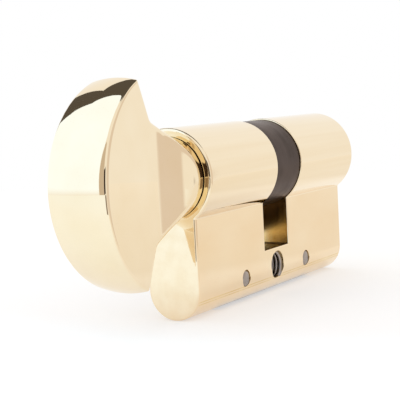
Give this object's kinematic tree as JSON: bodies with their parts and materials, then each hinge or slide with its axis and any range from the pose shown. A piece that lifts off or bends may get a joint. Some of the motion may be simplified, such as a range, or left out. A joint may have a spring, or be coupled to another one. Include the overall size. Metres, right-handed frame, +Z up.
{
  "type": "thumb turn euro cylinder",
  "caption": "Euro profile lock cylinder with a thumb turn on one side and a key plug on the other, driving one cam.",
  "frame": {"origin": "on the plug axis, at the middle of the cam", "axes": "+X along the plug axis towards the key side, +Y square to the flat web, +Z up from the web to the barrel"},
  "size_m": [0.0869, 0.0192, 0.0417],
  "materials": {
    "body_brass": "polished",
    "knob_brass": "mirror polished",
    "plug_brass": "turned",
    "bar_steel": "machined",
    "pin_steel": "ground",
    "clip_steel": "spring steel",
    "spring_steel": "drawn wire",
    "cam_steel": "dark sintered steel, brushed round the ring"
  },
  "bodies": {
    "base": {"lock_body": "body_brass", "reinforcing_bar": "bar_steel", "bar_pin_left": "pin_steel", "bar_pin_right": "pin_steel", "chamber_plugs": "body_brass", "key_plug": "plug_brass", "plug_clip": "clip_steel", "pin_spring_1": "spring_steel", "pin_spring_2": "spring_steel", "pin_spring_3": "spring_steel", "pin_spring_4": "spring_steel", "pin_spring_5": "spring_steel"},
    "turn": {"thumb_turn": "knob_brass", "turn_spindle": "plug_brass", "turn_clip": "clip_steel", "cam": "cam_steel", "clutch_spring": "spring_steel"},
    "clutch": {"clutch": "bar_steel"},
    "pin_stack_1": {"key_pin_1": "plug_brass", "driver_pin_1": "pin_steel"},
    "pin_stack_2": {"key_pin_2": "plug_brass", "driver_pin_2": "pin_steel"},
    "pin_stack_3": {"key_pin_3": "plug_brass", "driver_pin_3": "pin_steel"},
    "pin_stack_4": {"key_pin_4": "plug_brass", "driver_pin_4": "pin_steel"},
    "pin_stack_5": {"key_pin_5": "plug_brass", "driver_pin_5": "pin_steel"}
  },
  "joints": [
    {"name": "turn_spin", "type": "hinge", "parent": "base", "child": "turn", "pos_m": [0, 0, 0], "axis": [1, 0, 0], "continuous": true},
    {"name": "clutch_slide", "type": "slide", "parent": "turn", "child": "clutch", "axis": [-1, 0, 0], "range_m": [0, 0.0015], "stiffness_N_per_m": 60, "deforming": ["clutch_spring"]},
    {"name": "pin_slide_1", "type": "slide", "parent": "base", "child": "pin_stack_1", "axis": [0, 0, -1], "range_m": [0, 0.0026], "stiffness_N_per_m": 60, "deforming": ["pin_spring_1"]},
    {"name": "pin_slide_2", "type": "slide", "parent": "base", "child": "pin_stack_2", "axis": [0, 0, -1], "range_m": [0, 0.0026], "stiffness_N_per_m": 60, "deforming": ["pin_spring_2"]},
    {"name": "pin_slide_3", "type": "slide", "parent": "base", "child": "pin_stack_3", "axis": [0, 0, -1], "range_m": [0, 0.0026], "stiffness_N_per_m": 60, "deforming": ["pin_spring_3"]},
    {"name": "pin_slide_4", "type": "slide", "parent": "base", "child": "pin_stack_4", "axis": [0, 0, -1], "range_m": [0, 0.0026], "stiffness_N_per_m": 60, "deforming": ["pin_spring_4"]},
    {"name": "pin_slide_5", "type": "slide", "parent": "base", "child": "pin_stack_5", "axis": [0, 0, -1], "range_m": [0, 0.0026], "stiffness_N_per_m": 60, "deforming": ["pin_spring_5"]}
  ]
}
